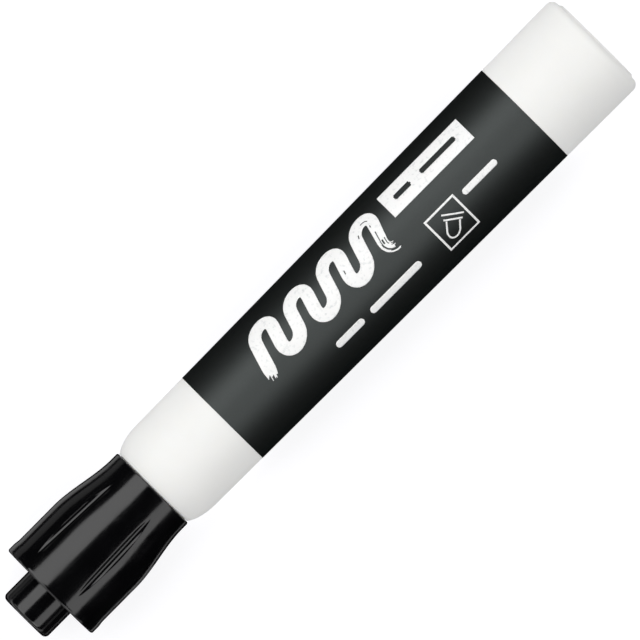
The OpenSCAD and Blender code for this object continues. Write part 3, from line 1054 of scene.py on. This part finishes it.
random.seed(11)
scribble = [(SCRIBBLE_START, SCRIBBLE_LOW - FIRST_DIP)]
turn_r = SCRIBBLE_PITCH / 2
for k in range(STROKES):
    up = k % 2 == 0
    reach = SCRIBBLE_HIGH - random.uniform(0, WANDER) if up else SCRIBBLE_LOW + random.uniform(0, WANDER)
    centre_x = SCRIBBLE_START + SCRIBBLE_PITCH * (k + 0.5)
    centre_y = reach - turn_r if up else reach + turn_r
    sign = 1 if up else -1
    last = ARC_STEPS if k < STROKES - 1 else LAST_STEPS
    scribble += [(centre_x - turn_r * math.cos(math.pi * i / ARC_STEPS),
                  centre_y + sign * turn_r * math.sin(math.pi * i / ARC_STEPS)) for i in range(last + 1)]
scribble = [(x + SLANT * (y - SCRIBBLE_LOW), y) for x, y in scribble]
print(f"the scribble is {even(scribble)[1]:.0f} mm of brush stroke")

# %% [markdown]
# ## A brush that runs dry
#
# A brush is a row of bristles, and each holds its own amount of ink. So the stroke is cut lengthwise into
# lanes, one for each bristle. A lane starts a little late, then skips, and at last ends early, all by
# lengths that are its own. Cells of the grid in such places are left out.

# %% The bristles, and the scribble
BRUSH, BRISTLES = 2.1, 12
LATEST_START = 0.9
DRY_BRISTLES, DRY_LEN, FULL_LEN = 0.45, 16, 3
SKIP_WAVES, SKIP_ABOVE = ((0.9, 4.1), (0.37, 2.3)), 0.9
PATCHY, BARE = 1.6, 0.35
THINNING, PRESS_LEN, LIFT_LEN = 0.25, 2, 9

starts = [random.uniform(0, LATEST_START) for _ in range(BRISTLES)]
dries = [random.uniform(0, DRY_LEN) if random.random() < DRY_BRISTLES else random.uniform(0, FULL_LEN)
         for _ in range(BRISTLES)]


def dry_brush(distance, offset, total):
    """True where a bristle has not touched yet, has run dry, or skips for a moment."""
    bristle = int((offset + 0.5) * BRISTLES)
    skipping = sum(math.sin(distance * wave + bristle * scatter) for wave, scatter in SKIP_WAVES)
    nearly_dry = distance > total - dries[bristle] * PATCHY and skipping > SKIP_ABOVE
    return distance < starts[bristle] or distance > total - dries[bristle] * BARE or nearly_dry


def brush_width(distance, total):
    """The brush is pressed on at once and lifted slowly."""
    pressed, lifted = ease(distance / PRESS_LEN), ease((distance - total + LIFT_LEN) / LIFT_LEN)
    return BRUSH * (1 - THINNING + THINNING * pressed) * (1 - THINNING * lifted)


work = bmesh.new()
band(work, scribble, brush_width, dry_brush)
printed("print_scribble", work)

# %% [markdown]
# ## Panel and bars
#
# A claim on such a label is often knocked out of a white panel, so that the dark ground shows through.
# Here two plain slots with round ends stand in the panel in place of words, and three plain bars lie where
# other words would be. They keep the balance of white on dark and say nothing.

# %% The panel and its two slots
PANEL_X, PANEL_AROUND = (20.6, 37.3), (2.75, 7.5)
WORD_SPOTS = ((1.6, 5.6), (7.0, 15.0))
WORD_SHARE, WORD_END = 0.2, 0.8

panel_height = PANEL_AROUND[1] - PANEL_AROUND[0]


def words_left_open(distance, offset, total):
    """True inside one of the two word spots, which have rounded ends."""
    for first, last in WORD_SPOTS:
        beside = max(first + WORD_END - distance, distance - last + WORD_END, 0)
        if math.hypot(beside, offset * panel_height) < WORD_SHARE * panel_height / 2:
            return True
    return False


work = bmesh.new()
panel_middle = sum(PANEL_AROUND) / 2
band(work, [(PANEL_X[0], panel_middle), (PANEL_X[1], panel_middle)], panel_height, words_left_open)
printed("print_panel", work)

# %% Bars, each from one place along the label to another, at a height and with a thickness
BARS = ((0.9, 6.6, -4.9, 1.25), (8.1, 18.6, -4.9, 1.25), (30.2, 37.2, -1.95, 1.05))

work = bmesh.new()
for first, last, around, thick in BARS:
    band(work, [(first, around), (last, around)], round_ends(thick))
printed("print_bars", work)

# %% [markdown]
# ## Tip drawing
#
# A small line drawing tells the buyer which tip is inside. This one is a square with a bullet nib in it,
# seen from the side and tilted, and the two edges of a collar behind it. Every line is a band again.

# %% A square with a bullet nib and its collar in it
ICON_X, ICON_AROUND, ICON_LINE = (23.1, 28.9), (-7.4, -1.0), 0.34
ICON_SHIFT = (-0.1, -0.2)
TIP_TILT, TIP_LINE = 38, 0.8 * ICON_LINE
TIP_HALF, TIP_STRAIGHT, TIP_POINTED = 1.05, 1.5, 1.25
TIP_STEPS = 16
COLLAR = ((0.2, 1.5), (1.0, 1.75))

icon_middle = Vector((sum(ICON_X) / 2 + ICON_SHIFT[0], sum(ICON_AROUND) / 2 + ICON_SHIFT[1]))


def in_icon(along, across):
    """A point of the tip drawing, from its own axis to the flat label."""
    lean = math.radians(TIP_TILT)
    direction, side = Vector((math.sin(lean), math.cos(lean))), Vector((math.cos(lean), -math.sin(lean)))
    return tuple(icon_middle + direction * along + side * across)


work = bmesh.new()
edge = ICON_LINE / 2
for around in ICON_AROUND:
    band(work, [(ICON_X[0] - edge, around), (ICON_X[1] + edge, around)], ICON_LINE)
for x in ICON_X:
    band(work, [(x, ICON_AROUND[0] + edge), (x, ICON_AROUND[1] - edge)], ICON_LINE)
around_tip = [math.pi * k / TIP_STEPS for k in range(TIP_STEPS + 1)]
tip_arc = [(-TIP_STRAIGHT / 2 - TIP_HALF * TIP_POINTED * math.sin(a), -TIP_HALF * math.cos(a))
           for a in around_tip]
tip_outline = [(TIP_STRAIGHT / 2, -TIP_HALF), *tip_arc, (TIP_STRAIGHT / 2, TIP_HALF)]
band(work, [in_icon(*p) for p in tip_outline], TIP_LINE)
for behind, reach in COLLAR:
    along = TIP_STRAIGHT / 2 + behind
    band(work, [in_icon(along, -reach), in_icon(along, reach)], TIP_LINE)
printed("print_tip_drawing", work)
